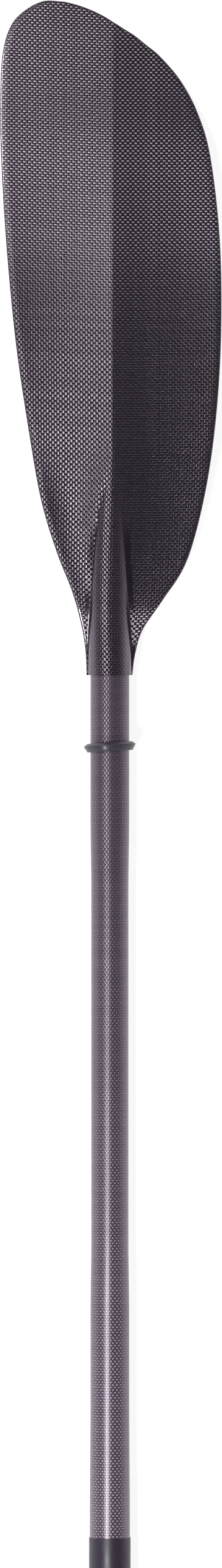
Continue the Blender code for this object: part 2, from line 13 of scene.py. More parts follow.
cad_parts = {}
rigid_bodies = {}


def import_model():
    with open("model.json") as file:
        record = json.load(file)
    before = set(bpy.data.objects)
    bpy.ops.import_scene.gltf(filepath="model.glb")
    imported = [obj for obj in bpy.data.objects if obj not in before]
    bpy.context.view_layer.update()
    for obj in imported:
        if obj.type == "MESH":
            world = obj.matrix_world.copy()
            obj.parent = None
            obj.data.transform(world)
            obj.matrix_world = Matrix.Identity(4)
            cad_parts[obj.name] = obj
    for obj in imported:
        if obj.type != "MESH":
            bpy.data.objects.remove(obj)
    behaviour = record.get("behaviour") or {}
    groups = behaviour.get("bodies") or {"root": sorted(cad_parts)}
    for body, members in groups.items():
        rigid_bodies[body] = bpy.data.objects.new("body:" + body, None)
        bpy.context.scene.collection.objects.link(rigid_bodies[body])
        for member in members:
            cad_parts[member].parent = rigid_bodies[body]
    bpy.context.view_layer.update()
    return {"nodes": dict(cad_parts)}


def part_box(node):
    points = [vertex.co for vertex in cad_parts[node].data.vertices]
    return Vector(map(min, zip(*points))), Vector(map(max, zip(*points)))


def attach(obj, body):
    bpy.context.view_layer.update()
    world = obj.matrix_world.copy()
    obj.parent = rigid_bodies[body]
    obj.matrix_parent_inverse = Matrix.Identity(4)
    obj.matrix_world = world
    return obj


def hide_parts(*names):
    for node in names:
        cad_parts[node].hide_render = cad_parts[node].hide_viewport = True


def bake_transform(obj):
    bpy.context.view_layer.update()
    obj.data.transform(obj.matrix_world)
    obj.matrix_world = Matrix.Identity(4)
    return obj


for old in list(bpy.data.objects):
    bpy.data.objects.remove(old, do_unlink=True)
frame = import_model()
scene = bpy.context.scene

# ---------------------------------------------------------------- camera
# Straight above the left half, looking down on its ridged front with the blade's tip up.
CAMERA_HEIGHT = 7.0
FRAMED_LENGTH = 1.1822        # from just past the middle of the shaft to the blade's tip
CAMERA_X = 0.0009
CAMERA_Y = 0.6080
tube_low, tube_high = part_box("left_shaft_tube")
AXIS_HEIGHT = (tube_low.z + tube_high.z) / 2    # the shaft's, where FRAMED_LENGTH is measured
SENSOR = 36.0                 # millimetres, along the long side
FAR_END = 50.0                # of what the camera sees

eye = bpy.data.objects.new("camera", bpy.data.cameras.new("camera"))
eye.data.sensor_width = SENSOR
eye.data.lens = SENSOR * (CAMERA_HEIGHT - AXIS_HEIGHT) / FRAMED_LENGTH
eye.data.clip_end = FAR_END
eye.location = (CAMERA_X, CAMERA_Y, CAMERA_HEIGHT)
scene.collection.objects.link(eye)
scene.camera = eye
scene.view_settings.view_transform = "Standard"


# ---------------------------------------------------------------- floor and light
# A white sweep under three softboxes in a row above the paddle, all a little to its left: one
# over its middle and one past each tip. The room is pale all round and dark overhead.
FLOOR_SIZE = 12.0
LAMP_HEIGHT = 1.8
MIDDLE_LAMP = (-0.50, -0.10)
LEFT_LAMP = (-1.15, 1.81)
RIGHT_LAMP = (-0.85, -2.05)
LAMP_WIDTH = 0.20
LAMP_LENGTH = 0.40
MIDDLE_LAMP_POWER = 24.0
END_LAMP_POWER = 32.0
ROOM_SIDES = 1.0
ROOM_TOP = 0.12
ROOM_BREAK = (0.05, 0.55)     # heights on a unit sphere where the sides end and the top starts
FLOOR_GLOW = 0.90             # what the paper gives to the eye and to reflections, but not as light
SMOOTH_BELOW = 38             # degrees; an edge that turns by less is shaded smooth


def srgb(code):
    """A hex colour as linear red, green, blue and a full alpha."""
    parts = [int(code[k:k + 2], 16) / 255 for k in (1, 3, 5)]
    return (*(c / 12.92 if c <= 0.04045 else ((c + 0.055) / 1.055) ** 2.4 for c in parts), 1.0)


def add(tree, kind, inputs=None, **settings):
    """Adds a shader node; inputs maps its sockets to values, to nodes or to their outputs."""
    node = tree.nodes.new("ShaderNode" + kind)
    for name, value in settings.items():
        setattr(node, name, value)
    for socket, value in (inputs or {}).items():
        if isinstance(value, bpy.types.Node):
            value = value.outputs[0]
        if isinstance(value, bpy.types.NodeSocket):
            tree.links.new(value, node.inputs[socket])
        else:
            node.inputs[socket].default_value = value
    return node


def finish_piece(name, shape, material, body, replaced):
    """Makes a bmesh a finished piece that stands for CAD nodes and rides on a body, if any."""
    mesh = bpy.data.meshes.new(name)
    shape.to_mesh(mesh)
    shape.free()
    mesh.shade_smooth()
    mesh.set_sharp_from_angle(angle=math.radians(SMOOTH_BELOW))
    mesh.materials.append(material)
    piece = bpy.data.objects.new(name, mesh)
    scene.collection.objects.link(piece)
    if body:
        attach(piece, body)
    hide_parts(*replaced)
    return piece


def new_material(name):
    """A material with its node tree and its shader."""
    material = bpy.data.materials.new(name)
    material.use_nodes = True
    return material, material.node_tree, material.node_tree.nodes["Principled BSDF"]


def dress(nodes, material):
    """Gives CAD nodes that stay as they are a material."""
    for node in nodes:
        for held in frame["nodes"][node].material_slots:
            held.material = material


sweep = bmesh.new()
bmesh.ops.create_grid(sweep, x_segments=1, y_segments=1, size=FLOOR_SIZE)
floor_mesh = bpy.data.meshes.new("floor")
sweep.to_mesh(floor_mesh)
sweep.free()
floor = bpy.data.objects.new("floor", floor_mesh)
scene.collection.objects.link(floor)
paper = bpy.data.materials.new("white_paper")
paper.use_nodes = True
tree = paper.node_tree
tree.nodes.clear()
path = add(tree, "LightPath")
seen = add(tree, "Math", {0: path.outputs["Is Camera Ray"], 1: path.outputs["Is Glossy Ray"]},
           operation="MAXIMUM")
seen = add(tree, "Math", {0: seen, 1: path.outputs["Is Transmission Ray"]}, operation="MAXIMUM")
glow = add(tree, "Math", {0: seen, 1: FLOOR_GLOW}, operation="MULTIPLY")
flat = add(tree, "BsdfDiffuse", {"Color": srgb("#8a8a8a")})
lit = add(tree, "Emission", {"Color": srgb("#ffffff"), "Strength": glow})
both = add(tree, "AddShader", {0: flat, 1: lit})
add(tree, "OutputMaterial", {"Surface": both})
floor_mesh.materials.append(paper)

room = bpy.data.worlds.new("room")
room.use_nodes = True
tree = room.node_tree
tree.nodes.clear()
way = add(tree, "TexCoord")
up = add(tree, "SeparateXYZ", {0: way.outputs["Generated"]})
level = add(tree, "MapRange", {"Value": up.outputs["Z"], "From Min": ROOM_BREAK[0],
                               "From Max": ROOM_BREAK[1], "To Min": ROOM_SIDES,
                               "To Max": ROOM_TOP}, clamp=True)
sky = add(tree, "Background", {"Color": srgb("#eedff4"), "Strength": level})
blank = add(tree, "Background", {"Color": srgb("#ffffff"), "Strength": 1.0})
path = add(tree, "LightPath")
seen = add(tree, "MixShader", {0: path.outputs["Is Camera Ray"], 1: sky, 2: blank})
add(tree, "OutputWorld", {"Surface": seen})
scene.world = room

for name, (x, y), power in (("softbox_middle", MIDDLE_LAMP, MIDDLE_LAMP_POWER),
                            ("softbox_left", LEFT_LAMP, END_LAMP_POWER),
                            ("softbox_right", RIGHT_LAMP, END_LAMP_POWER)):
    lamp = bpy.data.lights.new(name, "AREA")
    lamp.shape = "RECTANGLE"
    lamp.size = LAMP_WIDTH
    lamp.size_y = LAMP_LENGTH
    lamp.energy = power
    softbox = bpy.data.objects.new(name, lamp)
    softbox.location = (x, y, LAMP_HEIGHT)
    softbox.rotation_euler = (0.0, math.atan2(x, LAMP_HEIGHT), 0.0)
    scene.collection.objects.link(softbox)


# ---------------------------------------------------------------- blades
# Two skins of woven carbon cloth in clear epoxy, bonded over a foam core and along the rim.
# The spine runs out of the round socket and fades into the ridge of the front.
PADDLE_TIP = 1.200
BLADE_LENGTH = 0.510
SOCKET_END = PADDLE_TIP - BLADE_LENGTH
SOCKET_RADIUS = 0.0165
SOCKET_BORE = 0.0151
SOCKET_DEPTH = 0.064
SOCKET_ROUND = 0.069
LEFT_REACH = 0.0664
RIGHT_REACH = 0.0676
EDGE_THICKNESS = 0.0031
EDGE_ROUND = 0.0012           # how far the rim's round edge stands out of its faces
EDGE_STEPS = 6
RIM_WIDTH = 0.006
RIM_RAMP = 0.020
RIM_STEPS = 6
WING_STEPS = 9
FILLET_STEPS = 6
ARC_STEPS = 18
WING_BOW = 1.62               # how steeply a section that leans to the tip sets out for it
ROW_SPACING = 0.0045
LEAST = 0.00002               # no height or fillet gets smaller
FILLET_SHARE = 0.45           # the most of its wing or arc that a fillet takes
RIM_SHARE = 0.75              # the most of a wing that its rim and ramp take
SPINE_SHARE = 0.98            # the most of a side's reach that the spine takes
SPINE_RISE = 0.95             # the most of its own round that the spine stands up
CORNER_SHARE = 0.8            # the least of the spine's half width at which a fillet turns
SETTLING = 12                 # times that the spine's width is worked out, to let it settle
ASIDE = 0.05                  # rows to either side that give the outline's direction

# The outline in percent, one row for each section across: how far its left end reaches
# and lies along, where it crosses the ridge, and where its right end lies and reaches
OUTLINE = [
    (1.8, 0.0, 0.0, 0.0, 0.9), (2.9, 3.5, 3.3, 3.1, 4.1), (7.8, 7.5, 7.1, 6.7, 12.4),
    (18.4, 12.4, 11.8, 11.0, 34.5), (35.8, 18.2, 17.5, 16.7, 61.2), (53.5, 25.9, 25.9, 25.9, 80.6),
    (68.2, 36.7, 36.7, 36.7, 93.2), (82.4, 49.4, 49.4, 49.4, 99.7), (92.9, 63.7, 63.7, 63.7, 98.8),
    (98.8, 76.5, 76.2, 76.5, 88.5), (100.0, 84.5, 84.0, 83.3, 74.1), (97.7, 91.8, 90.0, 88.2, 54.7),
    (88.7, 96.1, 94.0, 91.8, 31.7), (73.0, 98.5, 95.3, 93.4, 17.2), (50.6, 100.0, 96.3, 94.8, 3.1),
    (27.6, 99.9, 96.65, 95.85, -10.9),
]
# The profile in millimetres, at stations along the socket and then along the blade
STATIONS = [share * SOCKET_ROUND for share in (0.0, 0.30, 0.70, 1.0)]
STATIONS += [SOCKET_ROUND + share * (BLADE_LENGTH - SOCKET_ROUND)
             for share in (0.117, 0.213, 0.303, 0.416, 0.528, 0.640, 0.753, 0.865, 1.0)]
WING_LEVEL = [1.55, 1.8, 8.1, 12.2, 16.4, 17.1, 17.0, 15.7, 11.8, 5.9, -0.9, -9.1, -17.3]
FRONT_CROWN = [16.5] * 4 + [16.5, 16.9, 16.9, 15.62, 11.75, 5.87, -0.91, -9.1, -17.3]
FRONT_RADIUS = [16.5] * 4 + [14.5, 9.5, 8.8, 8.8, 8.8, 9.0, 10.0, 10.0, 10.0]
BACK_CROWN = [-16.5] * 4 + [-5.0, 1.0, 3.5, 4.5, 2.0, -2.6, -8.3, -14.8, -20.6]
BACK_RADIUS = [16.5] * 4 + [14.5, 13.5, 14.0, 17.0, 24.0, 24.0, 24.0, 20.0, 12.0]
FILLET = [0.3, 0.6, 0.8, 1.0, 1.5, 3.0, 3.0, 3.0, 3.0, 3.0, 3.0, 2.0, 1.0]
BULGE = [0.0, 0.8, 2.0, 2.5, 3.2, 3.6, 3.6, 3.6, 3.4, 3.2, 2.8, 2.0, 0.6]
LEFT_SLOPE = [0.0, 0.0, 0.04, 0.20, 0.37, 0.22, 0.155, 0.14, 0.10, 0.07, 0.045, 0.02, -0.01]
RIGHT_SLOPE = [0.0, 0.0, 0.04, 0.18, 0.30, 0.24, 0.19, 0.16, 0.14, 0.13, 0.13, 0.15, 0.17]
LEFT_CURVE = [0.0, 0.0, -0.6, -3.0, -4.6, -1.65, -0.9, -1.0, -0.8, -0.55, -0.35, -0.2, 0.0]
RIGHT_CURVE = [0.0, 0.0, -0.5, -2.0, -2.5, -1.9, -1.5, -1.3, -1.1, -0.9, -0.7, -0.6, -0.6]
RIDGE_SHIFT = [0.0, 0.0, 0.0, 0.0, 1.0, 2.0, 2.1, 2.1, 2.1, 2.1, 2.1, 2.1, 2.1]
SHIFT_REACH = 0.030           # from the ridge out to where its sideways shift has died away


def through(positions, values, at):
    """Smooth curve through the values; its slope at each one is the mean of both sides."""
    last = len(positions) - 1
    at = min(max(at, positions[0]), positions[-1])
    i = 0
    while i < last - 1 and at > positions[i + 1]:
        i += 1

    def slope(k):
        low, high = max(k - 1, 0), min(k + 1, last)
        return (values[high] - values[low]) / (positions[high] - positions[low])

    span = positions[i + 1] - positions[i]
    t = (at - positions[i]) / span
    return ((2 * t**3 - 3 * t**2 + 1) * values[i] + (t**3 - 2 * t**2 + t) * span * slope(i)
            + (3 * t**2 - 2 * t**3) * values[i + 1] + (t**3 - t**2) * span * slope(i + 1))


def smoothstep(t):
    t = min(max(t, 0.0), 1.0)
    return t * t * (3 - 2 * t)


def profile(table, along):
    """A value from one of the blade's profile tables, in metres."""
    return through(STATIONS, table, along) / 1000


def wing_height(x, along):
    """Front surface of the wings, above the shaft's axis."""
    slopes, curves = (LEFT_SLOPE, LEFT_CURVE) if x < 0 else (RIGHT_SLOPE, RIGHT_CURVE)
    fall = through(STATIONS, slopes, along) * abs(x) + through(STATIONS, curves, along) * x * x
    return profile(WING_LEVEL, along) - fall


def half_section(side, edge_x, edge_along, mid_along, front):
    """One side of a section, from the wing's edge over its fillet to the top of the spine."""
    facing = 1 if front else -1
    crown = profile(FRONT_CROWN if front else BACK_CROWN, mid_along)
    radius = profile(FRONT_RADIUS if front else BACK_RADIUS, mid_along)
    reach = abs(edge_x)
    bow = WING_BOW if edge_along > mid_along else 1.0

    def along_at(x):
        share = x / reach
        return mid_along + (edge_along - mid_along) * share * (bow - (bow - 1) * share)

    def lift(x):
        return profile(WING_LEVEL, along_at(x)) - profile(WING_LEVEL, mid_along)

    def wing(x):
        height = wing_height(side * x, along_at(x)) - lift(x)
        if front:
            return height
        thick = smoothstep((reach - x - RIM_WIDTH) / RIM_RAMP)
        return height - EDGE_THICKNESS - profile(BULGE, along_at(x)) * thick

    half_width = min(radius, reach)
    for _ in range(SETTLING):
        height = min(max(facing * (crown - wing(half_width)), LEAST), 2 * radius * SPINE_RISE)
        half_width = min(math.sqrt(height * (2 * radius - height)), reach * SPINE_SHARE)
    sweep = 2 * math.atan2(height, half_width)
    fillet = max(min(profile(FILLET, mid_along), FILLET_SHARE * (reach - half_width)), LEAST)
    foot = half_width + fillet
    arc_end = sweep - min(fillet / radius, FILLET_SHARE * sweep)

    def on_arc(angle):
        return radius * math.sin(angle), crown - facing * radius * (1 - math.cos(angle))

    rim = (RIM_WIDTH + RIM_RAMP) * min(1.0, RIM_SHARE * (reach - foot) / (RIM_WIDTH + RIM_RAMP))
    steps = [reach - rim * k / RIM_STEPS for k in range(RIM_STEPS + 1)]
    steps += [steps[-1] + (foot - steps[-1]) * k / WING_STEPS for k in range(1, WING_STEPS)]
    flat = [(x, wing(x)) for x in steps]
    end = on_arc(arc_end)
    drop = facing * (end[1] - wing(half_width)) / math.sin(arc_end)
    corner_x = min(max(end[0] + drop * math.cos(arc_end), CORNER_SHARE * half_width), foot)
    start, corner = (foot, wing(foot)), (corner_x, wing(corner_x))
    for k in range(FILLET_STEPS):
        t = k / FILLET_STEPS
        flat.append(tuple((1 - t)**2 * a + 2 * t * (1 - t) * b + t * t * c
                          for a, b, c in zip(start, corner, end)))
    flat += [on_arc(arc_end * (1 - k / ARC_STEPS)) for k in range(ARC_STEPS + 1)]
    shift = profile(RIDGE_SHIFT, mid_along)
    return [Vector((side * x + shift * (1 - smoothstep(x / SHIFT_REACH)), along_at(x), z + lift(x)))
            for x, z in flat]


def outline_at(row):
    """Edges and ridge position of the section at a row of the outline, between rows too."""
    rows = list(range(len(OUTLINE)))
    left_reach, left_along, mid, right_along, right_reach = (
        through(rows, [entry[k] for entry in OUTLINE], row) / 100 for k in range(5))
    return (Vector((-(SOCKET_RADIUS + left_reach * LEFT_REACH), left_along * BLADE_LENGTH, 0.0)),
            mid * BLADE_LENGTH,
            Vector((SOCKET_RADIUS + right_reach * RIGHT_REACH, right_along * BLADE_LENGTH, 0.0)))


def outwards_at(row, side):
    """Level direction that points straight out of the outline at one end of a row."""
    last = len(OUTLINE) - 1
    near, far = outline_at(max(row - ASIDE, 0.0)), outline_at(min(row + ASIDE, last))
    run = far[side] - near[side]
    return Vector((-run.y, run.x, 0.0) if side == 0 else (run.y, -run.x, 0.0)).normalized()


def blade_loop(row, tuck=0.0):
    """A section all round: front from left to right, rim, back from right to left, rim.

    Past the last row the loop tucks in to a line, which rounds and closes the tip.
    """
    left, mid, right = outline_at(row)
    out_left, out_right = outwards_at(row, 0), outwards_at(row, 2)
    left, right = left - out_left * EDGE_ROUND, right - out_right * EDGE_ROUND
    faces = []
    for front in (True, False):
        near = half_section(-1, left.x, left.y, mid, front)
        far = half_section(1, right.x, right.y, mid, front)
        faces.append(near + far[-2::-1])
    front, back = faces
    if tuck:
        chord = right - left
        out = Vector((-chord.y, chord.x, 0.0)).normalized() * EDGE_ROUND * math.sin(tuck)
        middle = [(a + b) / 2 for a, b in zip(front, back)]
        front = [m + out + (a - m) * math.cos(tuck) for a, m in zip(front, middle)]
        back = [m + out + (b - m) * math.cos(tuck) for b, m in zip(back, middle)]
    loop = []
    for face, other, out in ((front, back, out_right), (back[::-1], front[::-1], out_left)):
        loop += face
        high, low = face[-1], other[-1]
        middle = (high + low) / 2
        for k in range(1, EDGE_STEPS):
            angle = math.pi * k / EDGE_STEPS
            side = out * EDGE_ROUND * math.sin(angle) * math.cos(tuck)
            loop.append(middle + side + (high - middle) * math.cos(angle))
    return loop + loop[:1]


def row_places():
    """Rows of the outline, with as many between as keep the sections evenly close."""
    places = [0.0]
    for row in range(len(OUTLINE) - 1):
        near, far = outline_at(row), outline_at(row + 1)
        gap = max((far[0] - near[0]).length, (far[2] - near[2]).length, far[1] - near[1])
        count = math.ceil(gap / ROW_SPACING)
        places += [row + k / count for k in range(1, count + 1)]
    return places


# Plain-weave carbon cloth laid in clear epoxy and lacquered: dark bundles of fibre that shine
# only across themselves, so that each crossing lights up alone, under a hard clear gloss.
# The weave is read from a map whose unit is one bundle.
TROUGH_PAINTED_SHADE = 0.55            # painted shade: how dark the cloth's colour is set where resin pools in the troughs beside the spine
DIVE_POWER = 5.0              # how late a bundle turns down to dive under the next one
GAP_REACH = (0.5, 1.4)        # from a crossing's middle: where it starts to darken, and is darkest
GAP_SHADES = (1.05, 0.3)      # how bright a crossing's middle is, and its corners
BUNDLE_SHADES = (0.85, 1.15)  # the darkest bundle and the brightest
QUARTER_TURN = 0.25           # by which the shine of the bundles that lie across is turned
LACQUER_IOR = 1.5


def carbon_cloth(name, fibre, crown, dives, roughness, coat_roughness, metallic):
    """Carbon cloth of one fibre colour under lacquer.

    A bundle's back leans by crown at its sides, and by its dive more where it goes under. Where
    the attribute resin is 1, resin has pooled over the cloth and filled its hollows, and the
    cloth's colour there is set to one darker value as painted shade.
    """
    material, tree, shader = new_material(name)
    place = add(tree, "UVMap", uv_map="weave")
    part = add(tree, "SeparateXYZ", {0: place})
    resin = add(tree, "Attribute", attribute_name="resin")
    bare = add(tree, "Math", {0: 1.0, 1: resin.outputs["Fac"]}, operation="SUBTRACT")
    offsets, bundles, slopes = [], [], []
    for axis, dive in zip(("X", "Y"), dives):
        whole = add(tree, "Math", {0: part.outputs[axis]}, operation="ROUND")
        offset = add(tree, "Math", {0: part.outputs[axis], 1: whole}, operation="SUBTRACT")
        wide = add(tree, "Math", {0: offset, 1: 2.0}, operation="MULTIPLY")
        size = add(tree, "Math", {0: wide}, operation="ABSOLUTE")
        sign = add(tree, "Math", {0: wide}, operation="SIGN")
        steep = add(tree, "Math", {0: size, 1: DIVE_POWER}, operation="POWER")
        steep = add(tree, "Math", {0: steep, 1: sign}, operation="MULTIPLY")
        steep = add(tree, "Math", {0: steep, 1: dive}, operation="MULTIPLY")
        slope = add(tree, "Math", {0: wide, 1: crown, 2: steep}, operation="MULTIPLY_ADD")
        slope = add(tree, "Math", {0: slope, 1: bare}, operation="MULTIPLY")
        bundles.append(whole)
        offsets.append(size)
        slopes.append(slope)
    count = add(tree, "Math", {0: bundles[0], 1: bundles[1]}, operation="ADD")
    over = add(tree, "Math", {0: count, 1: 1.0}, operation="PINGPONG")

    # the surface leans with the bundles
    across = add(tree, "Tangent", direction_type="UV_MAP", uv_map="weave")
    facing = add(tree, "NewGeometry")
    along = add(tree, "VectorMath", {0: facing.outputs["Normal"], 1: across},
                operation="CROSS_PRODUCT")
    lean = add(tree, "VectorMath", {0: across, "Scale": slopes[0]}, operation="SCALE")
    tilt = add(tree, "VectorMath", {0: along, "Scale": slopes[1]}, operation="SCALE")
    turned = add(tree, "VectorMath", {0: lean, 1: tilt}, operation="ADD")
    bent = add(tree, "VectorMath", {0: facing.outputs["Normal"], 1: turned}, operation="ADD")
    bent = add(tree, "VectorMath", {0: bent}, operation="NORMALIZE")
    turn = add(tree, "MapRange", {"Value": over, "To Min": QUARTER_TURN, "To Max": 0.0})

    # bundles differ a little, and resin darkens the gaps between them
    own = add(tree, "Mix", {"Factor": over, "A": bundles[1], "B": bundles[0]}, data_type="FLOAT")
    pair = add(tree, "CombineXYZ", {"X": own, "Y": over})
    vary = add(tree, "TexWhiteNoise", {"Vector": pair}, noise_dimensions="2D")
    off = add(tree, "CombineXYZ", {"X": offsets[0], "Y": offsets[1]})
    off = add(tree, "VectorMath", {0: off}, operation="LENGTH")
    gap = add(tree, "MapRange", {"Value": off.outputs["Value"],
                                 "From Min": GAP_REACH[0], "From Max": GAP_REACH[1],
                                 "To Min": GAP_SHADES[0], "To Max": GAP_SHADES[1]})
    shade = add(tree, "MapRange", {"Value": vary.outputs["Value"], "To Min": BUNDLE_SHADES[0],
                                   "To Max": BUNDLE_SHADES[1]})
    shade = add(tree, "Math", {0: shade, 1: gap}, operation="MULTIPLY")
    # painted shade: where resin pools, the cloth's colour is set to one darker value in place of
    # its weave
    shade = add(tree, "Mix", {"Factor": resin.outputs["Fac"], "A": shade, "B": TROUGH_PAINTED_SHADE},
                data_type="FLOAT")
    colour = add(tree, "VectorMath", {0: srgb(fibre)[:3], "Scale": shade}, operation="SCALE")

    tree.links.new(colour.outputs[0], shader.inputs["Base Color"])
    tree.links.new(bent.outputs[0], shader.inputs["Normal"])
    tree.links.new(across.outputs[0], shader.inputs["Tangent"])
    tree.links.new(turn.outputs[0], shader.inputs["Anisotropic Rotation"])
    shader.inputs["Metallic"].default_value = metallic
    shader.inputs["Specular Tint"].default_value = srgb("#dccbe2")
    shader.inputs["Roughness"].default_value = roughness
    shader.inputs["Anisotropic"].default_value = 1.0
    shader.inputs["Coat Weight"].default_value = 1.0
    shader.inputs["Coat Roughness"].default_value = coat_roughness
    shader.inputs["Coat IOR"].default_value = LACQUER_IOR
    return material


POOL_INNER_LEFT = 0.0020      # resin pools in the troughs beside the spine, where the cloth also gets painted shade: how far up its flanks,
POOL_INNER_RIGHT = 0.0036
POOL_OUTER = 0.0036           # and how far out on the wings,
POOL_EDGE = 0.0008            # fading over this width,
POOL_END = 0.122              # as far along the blade as this,
POOL_FADE = 0.030             # and fading over this length
BLADE_BUNDLE = 0.00196        # width of one bundle of fibre in the blades' cloth
DRAWN_LEFT = 0.055            # slope at which the cloth's cross threads lie askew on each wing,
DRAWN_RIGHT = -0.015
DRAWN_CHANGE = 0.012          # and half the width over which one changes to the other
RIDGE_STEPS = 200             # parts in which the ridge's length is added up
MERGE = 0.00001               # points closer than this are one
blade_carbon = carbon_cloth("lacquered_carbon_cloth_blade", "#6a636b", crown=0.07,
                            dives=(0.18, 0.32), roughness=0.34, coat_roughness=0.09, metallic=1.0)


def blade_shell(end):
    """One blade as a closed shell with its socket's bore; end is 1 on the left half, else -1."""
    places = row_places()
    loops = [blade_loop(place) for place in places]
    tucks = [math.pi / 2 * k / (EDGE_STEPS // 2) for k in range(1, EDGE_STEPS // 2 + 1)]
    loops += [blade_loop(places[-1], tuck) for tuck in tucks]
    columns = len(loops[0])
    shape = bmesh.new()
    bmesh.ops.create_grid(shape, x_segments=columns - 1, y_segments=len(loops) - 1, size=1.0)
    shape.verts.ensure_lookup_table()
    weave = shape.loops.layers.uv.new("weave")
    resin = shape.verts.layers.float.new("resin")

    # the points, and the resin beside the feet of the front's spine, which also marks where shade
    # is painted
    face_columns = (columns - 1 - 2 * (EDGE_STEPS - 1)) // 2
    front_middle = face_columns // 2
    back_middle = face_columns + EDGE_STEPS - 1 + face_columns // 2
    foot_column = RIM_STEPS + WING_STEPS
    for row, points in enumerate(loops):
        feet = points[foot_column].x, points[face_columns - 1 - foot_column].x
        for column, point in enumerate(points):
            vert = shape.verts[row * columns + column]
            vert.co = (point.x, end * (SOCKET_END + point.y), point.z + AXIS_HEIGHT)
            if column < face_columns:
                out = feet[0] - point.x if column < front_middle else point.x - feet[1]
                inner = POOL_INNER_LEFT if column < front_middle else POOL_INNER_RIGHT
                vert[resin] = (smoothstep((out + inner) / POOL_EDGE)
                               * smoothstep((POOL_OUTER - out) / POOL_EDGE)
                               * smoothstep((POOL_END - point.y) / POOL_FADE))

    # how far each point lies along the cloth: across from the middle of its face, and lengthwise
    lengths = []
    for points in loops:
        run = [0.0]
        for a, b in zip(points, points[1:]):
            run.append(run[-1] + math.hypot(b.x - a.x, b.z - a.z))
        lengths.append(run)
    ridge = [0.0]
    for k in range(1, RIDGE_STEPS + 1):
        low, high = (BLADE_LENGTH * (k - 1) / RIDGE_STEPS, BLADE_LENGTH * k / RIDGE_STEPS)
        rise = profile(WING_LEVEL, high) - profile(WING_LEVEL, low)
        ridge.append(ridge[-1] + math.hypot(high - low, rise))
    front_last = face_columns - 1 + EDGE_STEPS // 2
    back_last = front_last + face_columns + EDGE_STEPS - 1
    for face in shape.faces:
        column = min(loop.vert.index % columns for loop in face.loops)
        for loop in face.loops:
            row, here = divmod(loop.vert.index, columns)
            point, run = loops[row][here], lengths[row]
            if column < front_last:
                across = run[here] - run[front_middle]
            elif column < back_last:
                across = run[here] - run[back_middle]
            else:
                across = run[here] - run[-1] - run[front_middle]
            share = min(max(point.y / BLADE_LENGTH * RIDGE_STEPS, 0.0), RIDGE_STEPS - 0.001)
            along = ridge[int(share)] + (ridge[int(share) + 1] - ridge[int(share)]) * (share % 1)
            along += across * (DRAWN_RIGHT + DRAWN_LEFT) / 2
            off_ridge = math.hypot(across, DRAWN_CHANGE) - DRAWN_CHANGE
            along += off_ridge * (DRAWN_RIGHT - DRAWN_LEFT) / 2
            loop[weave].uv = (across / BLADE_BUNDLE, end * (SOCKET_END + along) / BLADE_BUNDLE)
    bmesh.ops.remove_doubles(shape, verts=shape.verts, dist=MERGE)

    # the socket: in from its end face to the bore, then down the bore
    rim = [edge for edge in shape.edges if edge.is_boundary]
    for scale_to_bore, depth in ((True, 0.0), (False, SOCKET_DEPTH)):
        grown = bmesh.ops.extrude_edge_only(shape, edges=rim)["geom"]
        verts = [item for item in grown if isinstance(item, bmesh.types.BMVert)]
        rim = [item for item in grown if isinstance(item, bmesh.types.BMEdge)]
        if scale_to_bore:
            for vert in verts:
                arm = Vector((vert.co.x, vert.co.z - AXIS_HEIGHT))
                arm *= SOCKET_BORE / arm.length
                vert.co.x, vert.co.z = arm.x, arm.y + AXIS_HEIGHT
        bmesh.ops.translate(shape, vec=(0.0, end * depth, 0.0), verts=verts)
    bmesh.ops.holes_fill(shape, edges=rim)
    bmesh.ops.recalc_face_normals(shape, faces=shape.faces)
    return shape


for side, end in (("left", 1), ("right", -1)):
    finish_piece(side + "_blade_shell", blade_shell(end), blade_carbon, side + "_half",
                 (side + "_blade_front_skin", side + "_blade_back_skin"))


# Closed-cell foam fills the blades between their skins, cut to shape before they are bonded on.
# It is cream, matt and pitted with open cells where it was cut.
FOAM_CELL = 0.0008
NOISE_SPAN = (0.3, 0.7)       # between these lie nearly all values of a noise
GRAIN_SHADES = (0.88, 1.12)   # how dark and how bright a surface's grain makes it
WORN_PATCHES = 90.0           # patches to a metre that are rubbed more or less,
WORN = 0.04                   # and by how much that changes the roughness


def solid_colour(name, colour, roughness, grain, relief, metallic=0.0):
    """A material of one colour whose surface has a grain of that width and relief, in metres."""
    material, tree, shader = new_material(name)
    place = add(tree, "TexCoord")
    fine = add(tree, "TexNoise", {"Vector": place.outputs["Object"], "Scale": 1 / grain,
                                  "Detail": 3.0})
    wide = add(tree, "TexNoise", {"Vector": place.outputs["Object"], "Scale": WORN_PATCHES,
                                  "Detail": 2.0})
    shade = add(tree, "MapRange", {"Value": fine.outputs[0],
                                   "From Min": NOISE_SPAN[0], "From Max": NOISE_SPAN[1],
                                   "To Min": GRAIN_SHADES[0], "To Max": GRAIN_SHADES[1]})
    tone = add(tree, "VectorMath", {0: srgb(colour)[:3], "Scale": shade}, operation="SCALE")
    rubbed = add(tree, "MapRange", {"Value": wide.outputs[0],
                                    "From Min": NOISE_SPAN[0], "From Max": NOISE_SPAN[1],
                                    "To Min": roughness - WORN, "To Max": roughness + WORN})
    bump = add(tree, "Bump", {"Height": fine.outputs[0], "Strength": 1.0, "Distance": relief})
    tree.links.new(tone.outputs[0], shader.inputs["Base Color"])
    tree.links.new(rubbed.outputs[0], shader.inputs["Roughness"])
    tree.links.new(bump.outputs[0], shader.inputs["Normal"])
    shader.inputs["Metallic"].default_value = metallic
    return material


dress(("left_blade_core", "right_blade_core"),
      solid_colour("cut_pvc_foam", "#d8d0b8", roughness=0.9, grain=FOAM_CELL, relief=0.0003))


